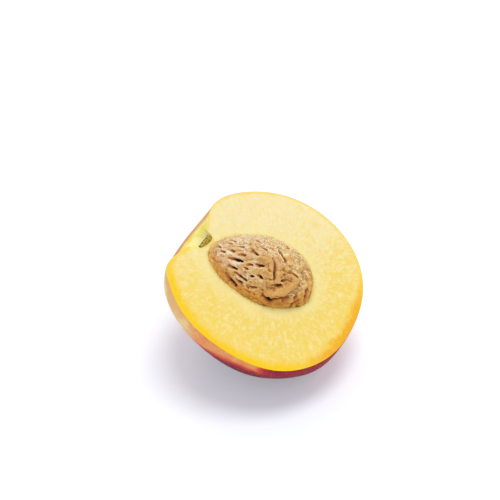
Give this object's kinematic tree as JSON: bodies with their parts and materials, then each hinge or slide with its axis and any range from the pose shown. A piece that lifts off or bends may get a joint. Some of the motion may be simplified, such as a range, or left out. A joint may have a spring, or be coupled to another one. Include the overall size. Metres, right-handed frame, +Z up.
{
  "type": "peach half",
  "caption": "Cut half of a ripe peach lying on its skin, cut side up, with its furrowed stone in place.",
  "frame": {"origin": "centre of the small flat spot that the half rests on", "axes": "+Z up, away from the surface that the half lies on; the cut face looks up and leans 31 degrees from level towards +X and -Y; the stem cavity is at its -X side"},
  "size_m": [0.0725, 0.0683, 0.0537],
  "materials": {
    "flesh": "stands for moist yellow fruit flesh, under a thin downy skin of yellow, orange and red blush",
    "stone": "dry rough light brown shell, deeply pitted and furrowed",
    "stalk": "dry olive brown bark"
  },
  "bodies": {
    "root": {"fruit_half": "flesh", "stone": "stone", "stalk_scar": "stalk"}
  },
  "joints": []
}
